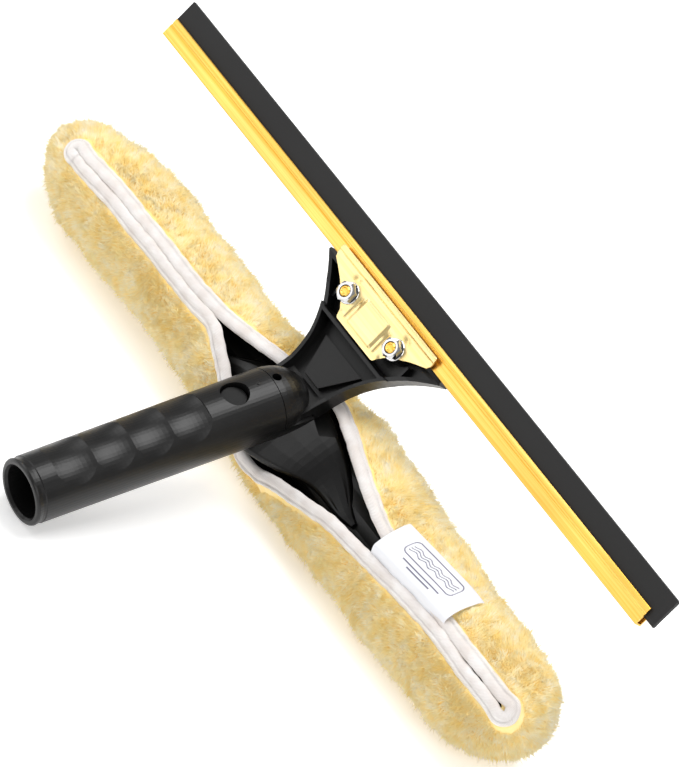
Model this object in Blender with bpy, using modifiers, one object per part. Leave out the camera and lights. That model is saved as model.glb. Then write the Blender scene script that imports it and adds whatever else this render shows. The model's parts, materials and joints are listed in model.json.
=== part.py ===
"""Window cleaning tool: a brass squeegee and a fleece washer on one handle.

The tool frame has its origin on the handle's axis, where the squeegee head meets the handle.
X runs along the blade, Y along the handle towards the head, Z up out of the thumb side.
The head and the washer bar have frames of their own, tilted about X.
The whole tool then stands on the floor, on its washer and on the butt of its handle.
"""
import math

import bmesh
import bpy
import numpy as np
from mathutils import Matrix, Vector

MM = 0.001
GAP = 0.3 * MM                      # air left between pieces that touch

# ---- handle -------------------------------------------------------------------------------
GRIP_LENGTH = 114.8 * MM            # butt to the joint with the head
BUTT_RADIUS = 13.95 * MM
JOINT_RADIUS = 14.65 * MM
RIM_ROUND = 1.2 * MM
POLE_BORE_RADIUS = 11.0 * MM        # socket for an extension pole
POLE_BORE_END_RADIUS = 10.2 * MM
POLE_BORE_DEPTH = 72.0 * MM
SCOOP_FIRST = 11.5 * MM - GRIP_LENGTH      # rear edge of the first finger scoop
SCOOP_PITCH = 17.8 * MM
SCOOP_COUNT = 4
SCOOP_DEPTH = 1.45 * MM             # at a scoop's middle
SCOOP_RIDGE_DEPTH = 0.45 * MM       # at the sharp ridges between scoops
SCOOP_AXIS_DROP = 3.8 * MM          # the scoops are turned about an axis below the handle's
COLLAR_GROOVE_Y = 3.4 * MM - GRIP_LENGTH
WINDOW_Y = -17.3 * MM               # round window over the lock button
WINDOW_RADIUS = 6.1 * MM
DOT_Y = -6.2 * MM                   # small raised mark near the joint with the head
DOT_RADIUS = 0.9 * MM
DOT_RISE = 0.35 * MM
SOCKET_RADIUS = 10.85 * MM          # front socket for the head's spigot
SOCKET_DEPTH = 28.0 * MM
CRADLE_TOP = -0.6 * MM              # the lower half runs on under the head's neck
CRADLE_END = 14.0 * MM
NOSE_TOP = -6.0 * MM
NOSE_END = 26.0 * MM

# ---- washer bar, in the bar frame: X, T across, S towards the slit ----------------------------
BAR_SLANT = math.radians(30.0)      # S leans back from the tool's Z by this much
BAR_T = 3.1 * MM
BAR_S = -28.0 * MM
BAR_HALF_LENGTH = 163.0 * MM
BAR_HALF_WIDTH = 12.4 * MM
BAR_HALF_THICK = 5.6 * MM

# wings between handle and bar, by distance from the middle: their edges across and their top, in mm
WING_STATIONS = [0, 11, 18, 24, 29, 34, 41, 48, 53, 57]
WING_REAR = [-20.5, -17.5, -13.8, -9.6, -6.6, -5.2, -4.9, -5.4, -4.4, -2.4]
WING_FRONT = [19.5, 18.4, 16.8, 15.2, 13.6, 11.8, 8.4, 4.4, 1.4, -0.6]
WING_TOP = [-2.0, -5.5, -11.5, -15.6, -18.0, -19.2, -19.9, -20.3, -20.5, -20.8]
WING_REACH = 57.0 * MM
WING_LEFT_SHARE = 0.78              # the left wing's reach against the right one's
WING_EASE = 3.0 * MM
WING_ROUND = 2.2 * MM

# ---- head, in the head frame: X, W along the blade's width, N out of its brass side ------------
HEAD_TILT = math.radians(45.8)
HEAD_Y = 50.94 * MM                 # rear top edge of the brass channel
HEAD_Z = 31.54 * MM
HEAD_HALF_WIDTH = 41.0 * MM         # at the flange tips
NECK_HALF_WIDTH = 13.0 * MM
FLANGE_TIP_W = -2.0 * MM
FLANGE_ROOT_W = -52.0 * MM
FLANGE_CURVE = 2.65
FLANGE_WALL = 1.7 * MM
RIB_W = -18.3 * MM
SPIGOT_RADIUS = SOCKET_RADIUS - 0.4 * MM
SPIGOT_START = -26.5 * MM
SPIGOT_END = 12.2 * MM
NECK_LENGTH = 18.4 * MM             # from the joint to the neck's rounded end
BUTTON_RADIUS = WINDOW_RADIUS - 0.4 * MM
BUTTON_FLANGE_RADIUS = WINDOW_RADIUS + 0.5 * MM
BUTTON_FLANGE_TOP = (SOCKET_RADIUS ** 2 - BUTTON_FLANGE_RADIUS ** 2) ** 0.5 + 0.19 * MM
BUTTON_TOP = BUTTON_FLANGE_TOP + 2.8 * MM
BUTTON_HOLLOW_TOP = BUTTON_FLANGE_TOP - 1.2 * MM
BUTTON_WELL_RADIUS = BUTTON_FLANGE_RADIUS + 0.4 * MM
BUTTON_WELL_FLOOR = -6.5 * MM

# ---- clamp, channel and rubber, in the head frame ----------------------------------------------
PLATE_BOTTOM = 0.35 * MM
PLATE_TOP = 1.35 * MM
PLATE_REAR_W = -16.5 * MM
PLATE_REAR_HALF = 13.4 * MM
PLATE_FRONT_HALF = 34.4 * MM
PLATE_FRONT_W = 4.8 * MM
HEM_W = 2.6 * MM
HEM_TOP = 2.3 * MM
STUD_X = 16.8 * MM
STUD_W = -6.3 * MM
STUD_RADIUS = 2.4 * MM
STUD_HOLE_RADIUS = STUD_RADIUS + 0.35 * MM
STUD_TOP = 5.9 * MM
STUD_HEAD_RADIUS = 4.0 * MM
WASHER_RADIUS = 4.8 * MM
WASHER_THICK = 0.8 * MM
NUT_FLATS = 7.9 * MM
NUT_THICK = 2.7 * MM
CHANNEL_LENGTH = 350.0 * MM
CHANNEL_OFFSET = 3.4 * MM           # the channel sits this far to the right in its clamp
CHANNEL_WIDTH = 8.7 * MM
CHANNEL_DEPTH = 4.6 * MM
CHANNEL_WALL = 0.8 * MM
SLOT_HALF = 1.3 * MM
RUBBER_LEFT_OVERHANG = 0.7 * MM
RUBBER_RIGHT_OVERHANG = 5.5 * MM
RUBBER_TIP_W = CHANNEL_WIDTH + 9.9 * MM
RUBBER_HALF_THICK = 0.95 * MM
BEAD_RADIUS = 1.15 * MM
BEAD_W = CHANNEL_WIDTH - 3.5 * MM
CLIP_LENGTH = 9.0 * MM

# ---- washer sleeve, in the bar frame ----------------------------------------------------------
SLEEVE_HALF_LENGTH = 179.5 * MM
SLEEVE_HALF_HEIGHT = 21.0 * MM
SLEEVE_STATIONS = [-160, -140, -60, 0, 30, 60, 100, 140, 162]      # mm along X
SLEEVE_REAR = [-17.5, -20.5, -19.8, -25.5, -25.5, -25.0, -26.0, -25.0, -22.0]
SLEEVE_FRONT = [23.5, 27.5, 28.7, 33.0, 34.0, 31.0, 29.0, 27.5, 25.0]
SLIT_HALF_LENGTH = 158.0 * MM
SLIT_HALF_WIDTH = 0.8 * MM
MOUTH_LEFT = -50.0 * MM             # the slit opens into a mouth round the handle
MOUTH_RIGHT = 82.0 * MM
MOUTH_WIDEST = 8.0 * MM
MOUTH_FRONT = 16.0 * MM             # how far its edges draw apart, to the front and the rear
MOUTH_REAR = 20.5 * MM
TAPE_WIDTH = 6.0 * MM
TAPE_THICK = 3.0 * MM
TAPE_ROOM = 1.0 * MM                # space between the tape and the fleece, across the slit
TAPE_SINK = 3.6 * MM                # its middle lies this deep in the cut edge
LABEL_START = 78.0 * MM             # the label lies across the slit's front edge
LABEL_END = 123.0 * MM
LABEL_REAR = -2.6 * MM              # its edges across the slit, from the slit's middle
LABEL_FRONT = 16.2 * MM
LABEL_LIFT = 1.4 * MM
LABEL_THICK = 0.6 * MM


def clear_scene():
    for obj in list(bpy.data.objects):
        bpy.data.objects.remove(obj, do_unlink=True)


def new_collection(name):
    collection = bpy.data.collections.new(name)
    bpy.context.scene.collection.children.link(collection)
    return collection


clear_scene()
PARTS = new_collection("window_cleaning_tool")
CUTTERS = new_collection("cutters")


def empty(name, parent=None, location=(0, 0, 0), rotation=(0, 0, 0)):
    obj = bpy.data.objects.new(name, None)
    PARTS.objects.link(obj)
    obj.parent = parent
    obj.location = location
    obj.rotation_euler = rotation
    return obj


ROOT = empty("tool_frame")
HEAD = empty("head_frame", ROOT, (0, HEAD_Y, HEAD_Z), (HEAD_TILT, 0, 0))
BAR = empty("bar_frame", ROOT, (0, 0, 0), (BAR_SLANT, 0, 0))
ALONG_Y = (-math.pi / 2, 0, 0)      # turns a lathe's own Z into the tool's Y
ALONG_X = (0, math.pi / 2, 0)       # turns a lathe's own Z into X


def material(name, colour, roughness, metallic=0.0):
    mat = bpy.data.materials.new(name)
    mat.use_nodes = True
    shader = mat.node_tree.nodes["Principled BSDF"]
    shader.inputs["Base Color"].default_value = (*colour, 1.0)
    shader.inputs["Roughness"].default_value = roughness
    shader.inputs["Metallic"].default_value = metallic
    return mat


def link(obj, parent, collection, location=(0, 0, 0), rotation=(0, 0, 0)):
    collection.objects.link(obj)
    obj.parent = parent
    obj.location = location
    obj.rotation_euler = rotation
    if collection == CUTTERS:
        obj.hide_render = True
        obj.display_type = "WIRE"
    return obj


def mesh_object(name, bm, parent, collection, location=(0, 0, 0), rotation=(0, 0, 0)):
    mesh = bpy.data.meshes.new(name)
    bm.to_mesh(mesh)
    bm.free()
    return link(bpy.data.objects.new(name, mesh), parent, collection, location, rotation)


def turned(name, profile, parent, collection, location=(0, 0, 0), rotation=(0, 0, 0),
           steps=40, ring=False):
    """A turned solid. The profile is (radius, height) from the top down its outer side."""
    bm = bmesh.new()
    verts = [bm.verts.new((r, 0, z)) for r, z in profile]
    for first, second in zip(verts, verts[1:]):
        bm.edges.new((first, second))
    if ring:
        bm.edges.new((verts[-1], verts[0]))
    obj = mesh_object(name, bm, parent, collection, location, rotation)
    screw = obj.modifiers.new("turn", "SCREW")
    screw.steps = steps
    screw.render_steps = steps
    screw.use_merge_vertices = True
    screw.merge_threshold = 0.00001
    screw.use_smooth_shade = True
    return obj


def plate(name, outline, half_thick, parent, collection, location=(0, 0, 0), rotation=(0, 0, 0)):
    """A flat outline in its own XY plane, half_thick to each side of it, as a closed mesh."""
    curve = bpy.data.curves.new(name, "CURVE")
    curve.dimensions = "2D"
    curve.fill_mode = "BOTH"
    curve.extrude = half_thick
    curve.render_resolution_u = 0
    spline = curve.splines.new("POLY")
    spline.points.add(len(outline) - 1)
    for point, (x, y) in zip(spline.points, outline):
        point.co = (x, y, 0, 1)
    spline.use_cyclic_u = True
    drawn = link(bpy.data.objects.new(name + "_curve", curve), parent, collection, location, rotation)
    bpy.context.view_layer.update()
    depsgraph = bpy.context.evaluated_depsgraph_get()
    mesh = bpy.data.meshes.new_from_object(drawn.evaluated_get(depsgraph))
    bm = bmesh.new()
    bm.from_mesh(mesh)
    bmesh.ops.remove_doubles(bm, verts=bm.verts, dist=0.000001)
    bmesh.ops.recalc_face_normals(bm, faces=bm.faces)
    bm.to_mesh(mesh)
    bm.free()
    bpy.data.objects.remove(drawn, do_unlink=True)
    return link(bpy.data.objects.new(name, mesh), parent, collection, location, rotation)


def box(name, low, high, parent, collection):
    bm = bmesh.new()
    bmesh.ops.create_cube(bm, size=1.0)
    low, high = Vector(low), Vector(high)
    size = high - low
    bmesh.ops.scale(bm, verts=bm.verts, vec=size)
    return mesh_object(name, bm, parent, collection, (low + high) / 2)


def loft(name, rings, parent, collection):
    """A closed skin over rings of equal length, with flat ends."""
    bm = bmesh.new()
    rows = [[bm.verts.new(point) for point in ring] for ring in rings]
    count = len(rows[0])
    for row, following in zip(rows, rows[1:]):
        for i in range(count):
            j = (i + 1) % count
            bm.faces.new((row[i], row[j], following[j], following[i]))
    bm.faces.new(rows[0])
    bm.faces.new(rows[-1])
    bmesh.ops.recalc_face_normals(bm, faces=bm.faces)
    return mesh_object(name, bm, parent, collection)


def boolean(obj, operation, *others):
    for other in others:
        modifier = obj.modifiers.new(operation.lower() + "_" + other.name, "BOOLEAN")
        modifier.operation = operation
        modifier.object = other
    return obj


def finish(obj, mat, sharp=35.0):
    """Bake the modifiers, weld the seams they leave, and shade the round faces smooth."""
    bpy.context.view_layer.update()
    depsgraph = bpy.context.evaluated_depsgraph_get()
    mesh = bpy.data.meshes.new_from_object(obj.evaluated_get(depsgraph))
    obj.modifiers.clear()
    obj.data = mesh
    bm = bmesh.new()
    bm.from_mesh(mesh)
    bmesh.ops.remove_doubles(bm, verts=bm.verts, dist=0.000004)
    bmesh.ops.dissolve_degenerate(bm, dist=0.000002, edges=bm.edges)
    bm.to_mesh(mesh)
    bm.free()
    mesh.materials.clear()
    mesh.materials.append(mat)
    mesh.shade_smooth()
    mesh.set_sharp_from_angle(angle=math.radians(sharp))
    return obj


def arc(centre, radius, start, end, count):
    """Points on an arc in a plane, angles in degrees."""
    angles = np.radians(np.linspace(start, end, count))
    return [(centre[0] + radius * math.cos(a), centre[1] + radius * math.sin(a)) for a in angles]


BLACK = material("satin_black_nylon", (0.012, 0.012, 0.013), 0.38)
BRASS = material("brass", (0.80, 0.55, 0.18), 0.30, 1.0)
PALE_BRASS = material("pale_brass", (0.86, 0.70, 0.36), 0.28, 1.0)
STEEL = material("plated_steel", (0.66, 0.66, 0.68), 0.20, 1.0)
RUBBER = material("black_rubber", (0.020, 0.020, 0.020), 0.70)
FLEECE = material("yellow_fleece", (0.86, 0.72, 0.40), 0.95)
TAPE = material("white_cotton_tape", (0.86, 0.84, 0.82), 0.90)
LABEL = material("white_satin_label", (0.86, 0.86, 0.90), 0.55)


def grip_radius(y):
    return BUTT_RADIUS + (JOINT_RADIUS - BUTT_RADIUS) * (y + GRIP_LENGTH) / GRIP_LENGTH


# ---- handle -------------------------------------------------------------------------------
def make_handle():
    butt = -GRIP_LENGTH
    nose_round = 3.0 * MM
    groove = 0.35 * MM
    profile = [(0, NOSE_END), (JOINT_RADIUS - nose_round, NOSE_END)]
    profile += [(JOINT_RADIUS, NOSE_END - nose_round), (JOINT_RADIUS, 0)]
    profile += [(grip_radius(COLLAR_GROOVE_Y), COLLAR_GROOVE_Y + 1.0 * MM)]
    profile += [(grip_radius(COLLAR_GROOVE_Y) - groove, COLLAR_GROOVE_Y + 0.6 * MM)]
    profile += [(BUTT_RADIUS - groove, COLLAR_GROOVE_Y - 0.6 * MM)]
    rim = arc((BUTT_RADIUS - RIM_ROUND, butt + RIM_ROUND), RIM_ROUND, 0, -90, 4)
    profile += rim + [(0, butt)]
    handle = turned("handle_body", profile, ROOT, PARTS, rotation=ALONG_Y, steps=64)

    far = 40 * MM
    above_cradle = box("above_cradle", (-far, 0, CRADLE_TOP), (far, 60 * MM, far), ROOT, CUTTERS)
    above_nose = box("above_nose", (-far, CRADLE_END, NOSE_TOP), (far, 60 * MM, far), ROOT, CUTTERS)
    dot_top = grip_radius(DOT_Y) + DOT_RISE
    dot = [(0, dot_top), (DOT_RADIUS * 0.6, dot_top - 0.1 * MM), (DOT_RADIUS, dot_top - 0.3 * MM)]
    dot = turned("dot", dot + [(DOT_RADIUS, 12 * MM), (0, 12 * MM)], ROOT, CUTTERS, (0, DOT_Y, 0), steps=16)
    boolean(handle, "UNION", make_bar(), make_wings(), dot)
    boolean(handle, "DIFFERENCE", above_cradle, above_nose)

    bore = [(0, butt + POLE_BORE_DEPTH), (POLE_BORE_END_RADIUS, butt + POLE_BORE_DEPTH)]
    bore += [(POLE_BORE_RADIUS, butt + 1.2 * MM), (POLE_BORE_RADIUS + 0.9 * MM, butt - 0.2 * MM)]
    bore += [(0, butt - 0.2 * MM)]
    bore = turned("pole_bore", bore, ROOT, CUTTERS, rotation=ALONG_Y)
    socket = [(0, CRADLE_END), (SOCKET_RADIUS, CRADLE_END), (SOCKET_RADIUS, -SOCKET_DEPTH)]
    socket = turned("spigot_socket", socket + [(0, -SOCKET_DEPTH)], ROOT, CUTTERS, rotation=ALONG_Y)
    drain = [(0, -SOCKET_DEPTH + MM), (4 * MM, -SOCKET_DEPTH + MM)]
    drain += [(4 * MM, butt + POLE_BORE_DEPTH - MM), (0, butt + POLE_BORE_DEPTH - MM)]
    drain = turned("drain_hole", drain, ROOT, CUTTERS, rotation=ALONG_Y, steps=24)
    window = [(0, 25 * MM), (WINDOW_RADIUS, 25 * MM), (WINDOW_RADIUS, 4 * MM), (0, 4 * MM)]
    window = turned("button_window", window, ROOT, CUTTERS, (0, WINDOW_Y, 0), steps=32)
    boolean(handle, "DIFFERENCE", make_scoops(), bore, socket, drain, window)
    return finish(handle, BLACK, 26.0)


def make_scoops():
    """One ring cutter: a row of hollows with a sharp ridge between each two."""
    outer = 24 * MM
    rows = 9
    inner = []
    for step in range(SCOOP_COUNT * rows + 1):
        along = step / rows
        y = SCOOP_FIRST + along * SCOOP_PITCH
        hollow = 4 * (along % 1) * (1 - along % 1)
        depth = SCOOP_RIDGE_DEPTH + hollow * (SCOOP_DEPTH - SCOOP_RIDGE_DEPTH)
        inner.append((grip_radius(y) + SCOOP_AXIS_DROP - depth, y))
    profile = [(outer, inner[-1][1]), (outer, SCOOP_FIRST)] + inner
    return turned("finger_scoops", profile, ROOT, CUTTERS, (0, 0, -SCOOP_AXIS_DROP), ALONG_Y,
                  steps=72, ring=True)


def make_bar():
    """The washer bar: a flat oval bar with a low ridge along its slit side."""
    ridge_half = 3.4 * MM
    ridge_rise = 1.4 * MM
    outline = []
    for x, y in arc((0, 0), 1.0, 0, 360, 25)[:-1]:
        width = math.copysign(abs(x) ** 0.7, x) * BAR_HALF_WIDTH
        rise = ridge_rise if y > 0 and abs(width) < ridge_half else 0.0
        outline.append((width, math.copysign(abs(y) ** 0.8, y) * BAR_HALF_THICK + rise))
    bar = plate("washer_bar", outline, BAR_HALF_LENGTH, BAR, CUTTERS, (0, BAR_T, BAR_S),
                (math.pi / 2, 0, math.pi / 2))
    bevel = bar.modifiers.new("round_ends", "BEVEL")
    bevel.width = 2.5 * MM
    bevel.segments = 2
    bevel.limit_method = "ANGLE"
    bevel.angle_limit = math.radians(60)
    return bar


def eased(x, stations, values):
    """The value at x of a line through the stations, rounded where it turns."""
    window = np.linspace(-WING_EASE, WING_EASE, 9)
    return np.interp(np.abs(x + window), np.array(stations) * MM, np.array(values) * MM).mean()


def make_wings():
    """Wings flare out of the handle's underside and end as a tongue on the bar, on both sides."""
    foot = BAR_S - 1.5 * MM
    rings = []
    for x in np.linspace(-WING_REACH, WING_REACH, 47):
        rear = eased(x, WING_STATIONS, WING_REAR)
        front = eased(x, WING_STATIONS, WING_FRONT)
        top = eased(x, WING_STATIONS, WING_TOP)
        middle, round_off = (rear + front) / 2, min(WING_ROUND, (front - rear) * 0.3)
        crown = 0.3 * round_off
        ring = arc((rear + round_off, top - round_off), round_off, 180, 90, 5)
        ring += [((rear + middle) / 2, top + 0.7 * crown), (middle, top + crown),
                 ((front + middle) / 2, top + 0.7 * crown)]
        ring += arc((front - round_off, top - round_off), round_off, 90, 0, 5)
        ring = [(middle, foot)] + ring + [(front, foot)]
        rings.append([(x if x > 0 else x * WING_LEFT_SHARE, t, s) for t, s in ring])
    return loft("wings", rings, BAR, CUTTERS)


# ---- squeegee head ---------------------------------------------------------------------------
def flange_half_width(w):
    share = (w - FLANGE_ROOT_W) / (FLANGE_TIP_W - FLANGE_ROOT_W)
    return NECK_HALF_WIDTH + (HEAD_HALF_WIDTH - NECK_HALF_WIDTH) * max(share, 0.0) ** FLANGE_CURVE


def fan_outline(inset, rear_w, front_w, count):
    right = [(flange_half_width(w) - inset, w) for w in np.linspace(rear_w, front_w, count)]
    return right + [(-x, w) for x, w in reversed(right)]


def side_slab(name, outline, half_width, parent, collection):
    """A side view outline in the tool's YZ plane, drawn out to both sides."""
    return plate(name, outline, half_width, parent, collection, rotation=(math.pi / 2, 0, math.pi / 2))


def head_to_tool(w, n):
    cosine, sine = math.cos(HEAD_TILT), math.sin(HEAD_TILT)
    return (HEAD_Y + w * cosine - n * sine, HEAD_Z + w * sine + n * cosine)


def make_head():
    top_line = [(6.5, 1.5), (19.2, 6.7), (29.3, 13.5), (37.1, 19.9), (51.0, 28.7)]
    low_line = [(33.0, 5.8), (26.6, 1.9), (20.6, -1.9), (14.6, -3.6), (14.6, -0.3), (6.5, -0.3)]
    band = [(y * MM, z * MM) for y, z in top_line]
    band += [head_to_tool(-0.3 * MM, -1.2 * MM), head_to_tool(-0.3 * MM, -4.9 * MM)]
    band += [head_to_tool(7.4 * MM, -4.9 * MM), head_to_tool(7.4 * MM, -6.6 * MM)]
    band += [head_to_tool(-2.0 * MM, -8.0 * MM), head_to_tool(-18.0 * MM, -8.0 * MM)]
    band += [(y * MM, z * MM) for y, z in low_line]
    head = side_slab("squeegee_head", band, 50 * MM, ROOT, PARTS)
    fan = fan_outline(0.0, FLANGE_ROOT_W, FLANGE_TIP_W, 18)
    half = len(fan) // 2
    jaw_half = 34.0 * MM
    tip = [(HEAD_HALF_WIDTH - 0.6 * MM, -0.9 * MM), (HEAD_HALF_WIDTH - 3.4 * MM, 0.2 * MM)]
    tip += [(jaw_half, 0.2 * MM), (jaw_half - 1.5 * MM, 8.0 * MM)]
    outline = fan[:half] + tip + [(-x, w) for x, w in reversed(tip)] + fan[half:]
    fan = plate("fan", outline, 40 * MM, HEAD, CUTTERS)
    boolean(head, "INTERSECT", fan)

    # pockets, one on each side of the cross rib
    floor = [(8.0, 1.6), (20.6, 1.4), (26.6, 4.9), (33.0, 8.4)]
    floor = [(y * MM, z * MM) for y, z in floor]
    floor += [head_to_tool(-18.0 * MM, -6.0 * MM), head_to_tool(-2.4 * MM, -6.0 * MM)]
    above = floor + [head_to_tool(-2.4 * MM, 30 * MM), (0.0, 60 * MM), (8.0 * MM, 20 * MM)]
    rear_well = plate("rear_well", fan_outline(FLANGE_WALL, -56 * MM, RIB_W - 0.7 * MM, 15), 40 * MM,
                      HEAD, CUTTERS)
    boolean(rear_well, "INTERSECT", side_slab("above_floor", above, 50 * MM, ROOT, CUTTERS))
    front_well = plate("front_well", fan_outline(2.4 * MM, RIB_W + 0.8 * MM, -3.4 * MM, 8), 40 * MM,
                       HEAD, CUTTERS)
    boolean(front_well, "INTERSECT", side_slab("above_front", above, 50 * MM, ROOT, CUTTERS))
    boolean(head, "DIFFERENCE", rear_well, front_well)

    # under the plate everything stops one gap below it
    plate_room = box("plate_room", (-60 * MM, -17.0 * MM, 0), (60 * MM, 20 * MM, 30 * MM), HEAD, CUTTERS)
    boolean(head, "DIFFERENCE", plate_room)

    additions = [make_plateau()]
    for side in (-1, 1):
        boss = [(0, 0), (4.6 * MM, 0), (5.2 * MM, -7 * MM), (0, -7 * MM)]
        additions.append(turned("boss_" + str(side), boss, HEAD, CUTTERS, (side * STUD_X, STUD_W, 0),
                                steps=24))
        rib_x = side * 24.5 * MM
        additions.append(box("pocket_rib", (rib_x - 0.6 * MM, -13.5 * MM, -7 * MM),
                             (rib_x + 0.6 * MM, -7.5 * MM, -2.5 * MM), HEAD, CUTTERS))
    boolean(head, "UNION", *additions, make_neck())

    for side in (-1, 1):
        hole = [(0, 5 * MM), (STUD_HOLE_RADIUS, 5 * MM), (STUD_HOLE_RADIUS, -12 * MM), (0, -12 * MM)]
        boolean(head, "DIFFERENCE", turned("stud_hole_" + str(side), hole, HEAD, CUTTERS,
                                           (side * STUD_X, STUD_W, 0), steps=20))
    well = [(0, 30 * MM), (BUTTON_WELL_RADIUS, 30 * MM)]
    well += [(BUTTON_WELL_RADIUS, BUTTON_WELL_FLOOR), (0, BUTTON_WELL_FLOOR)]
    pin_hole = [(0, 20 * MM), (2.0 * MM, 20 * MM), (2.0 * MM, 6 * MM), (0, 6 * MM)]
    boolean(head, "DIFFERENCE",
            turned("button_well", well, ROOT, CUTTERS, (0, WINDOW_Y, 0), steps=32),
            turned("pin_hole", pin_hole, ROOT, CUTTERS, (0, 2.6 * MM, 0), steps=20))
    return finish(head, BLACK)


def make_plateau():
    """The raised panel in the fan's floor, narrow towards the neck."""
    outline = [(-13.0, 16.0), (13.0, 16.0), (5.0, 0.0), (-5.0, 0.0)]
    outline = [(x * MM, y * MM) for x, y in outline]
    return plate("plateau", outline, 1.6 * MM, ROOT, CUTTERS, (0, 21.6 * MM, 3.0 * MM),
                 (math.radians(28.0), 0, 0))


def make_neck():
    """The half barrel on top of the handle's cradle, and the spigot inside the socket."""
    barrel = [(0, NECK_LENGTH)]
    barrel += [(JOINT_RADIUS * math.sin(a), GAP + (NECK_LENGTH - GAP) * math.cos(a))
               for a in np.radians(np.linspace(9, 90, 10))]
    barrel += [(0, GAP)]
    neck = turned("neck_barrel", barrel, ROOT, CUTTERS, rotation=ALONG_Y, steps=64)
    below = box("below_neck", (-30 * MM, -5 * MM, -30 * MM), (30 * MM, 40 * MM, -0.3 * MM), ROOT, CUTTERS)
    boolean(neck, "DIFFERENCE", below)
    spigot = [(0, SPIGOT_END), (SPIGOT_RADIUS, SPIGOT_END), (SPIGOT_RADIUS, SPIGOT_START + MM)]
    spigot += [(SPIGOT_RADIUS - MM, SPIGOT_START), (0, SPIGOT_START)]
    spigot = turned("spigot", spigot, ROOT, CUTTERS, rotation=ALONG_Y, steps=40)
    return boolean(neck, "UNION", spigot)


def make_button():
    """Spring button in the spigot. Its flange catches under the edge of the handle's window."""
    bottom, hollow_radius = 4.0 * MM, 4.9 * MM
    skirt = [(0, BUTTON_TOP), (BUTTON_RADIUS - 0.5 * MM, BUTTON_TOP), (BUTTON_RADIUS, BUTTON_TOP - 0.5 * MM)]
    skirt += [(BUTTON_RADIUS, BUTTON_FLANGE_TOP), (BUTTON_FLANGE_RADIUS, BUTTON_FLANGE_TOP - 0.6 * MM)]
    skirt += [(BUTTON_FLANGE_RADIUS, bottom), (hollow_radius, bottom)]
    skirt += [(hollow_radius, BUTTON_HOLLOW_TOP), (0, BUTTON_HOLLOW_TOP)]
    profile = [(r, z - BUTTON_TOP) for r, z in skirt]
    button = turned("lock_button", profile, ROOT, PARTS, (0, WINDOW_Y, BUTTON_TOP), steps=32)
    return finish(button, BLACK)


def make_spring():
    """Compression spring between the button and the floor of its well."""
    turns = 4.5
    per_turn = 14
    wire = 0.45 * MM
    radius = 3.6 * MM
    low = BUTTON_WELL_FLOOR + wire + GAP
    high = BUTTON_HOLLOW_TOP - wire - GAP
    curve = bpy.data.curves.new("button_spring", "CURVE")
    curve.dimensions = "3D"
    curve.bevel_depth = wire
    curve.bevel_resolution = 1
    curve.use_fill_caps = True
    curve.render_resolution_u = 0
    spline = curve.splines.new("POLY")
    count = int(turns * per_turn) + 1
    spline.points.add(count - 1)
    for i, point in enumerate(spline.points):
        angle = 2 * math.pi * i / per_turn
        point.co = (radius * math.cos(angle), radius * math.sin(angle),
                    low + (high - low) * i / (count - 1), 1)
    drawn = link(bpy.data.objects.new("button_spring_curve", curve), ROOT, PARTS, (0, WINDOW_Y, 0))
    bpy.context.view_layer.update()
    depsgraph = bpy.context.evaluated_depsgraph_get()
    mesh = bpy.data.meshes.new_from_object(drawn.evaluated_get(depsgraph))
    bpy.data.objects.remove(drawn, do_unlink=True)
    spring = link(bpy.data.objects.new("button_spring", mesh), ROOT, PARTS, (0, WINDOW_Y, 0))
    return finish(spring, STEEL)


# ---- clamp ------------------------------------------------------------------------------------
def make_clamp_plate():
    side = [(PLATE_REAR_HALF, PLATE_REAR_W)]
    for share in (0.25, 0.5, 0.75, 1.0):
        w = PLATE_REAR_W + share * (-0.9 * MM - PLATE_REAR_W)
        x = PLATE_REAR_HALF + (PLATE_FRONT_HALF - 0.9 * MM - PLATE_REAR_HALF) * share ** 1.7
        side.append((x, w))
    side += [(PLATE_FRONT_HALF, 1.2 * MM), (PLATE_FRONT_HALF, PLATE_FRONT_W)]
    outline = side + [(-x, w) for x, w in reversed(side)]
    middle = (PLATE_BOTTOM + PLATE_TOP) / 2
    clamp = plate("clamp_plate", outline, (PLATE_TOP - PLATE_BOTTOM) / 2, HEAD, PARTS, (0, 0, middle))
    hem = box("hem", (-PLATE_FRONT_HALF, HEM_W, PLATE_BOTTOM + 0.2 * MM),
              (PLATE_FRONT_HALF, PLATE_FRONT_W + 0.3 * MM, HEM_TOP), HEAD, CUTTERS)
    bevel = hem.modifiers.new("soft_edges", "BEVEL")
    bevel.width = 0.5 * MM
    bevel.segments = 2
    boolean(clamp, "UNION", hem)
    pocket = box("pressed_pocket", (-8.5 * MM, -13.0 * MM, PLATE_TOP - 0.4 * MM),
                 (8.5 * MM, -1.5 * MM, 5 * MM), HEAD, CUTTERS)
    boolean(clamp, "DIFFERENCE", pocket)
    for side_sign in (-1, 1):
        hole = [(0, 5 * MM), (STUD_HOLE_RADIUS, 5 * MM), (STUD_HOLE_RADIUS, -5 * MM), (0, -5 * MM)]
        boolean(clamp, "DIFFERENCE", turned("plate_hole_" + str(side_sign), hole, HEAD, CUTTERS,
                                            (side_sign * STUD_X, STUD_W, 0), steps=20))
    return finish(clamp, PALE_BRASS)


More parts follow.
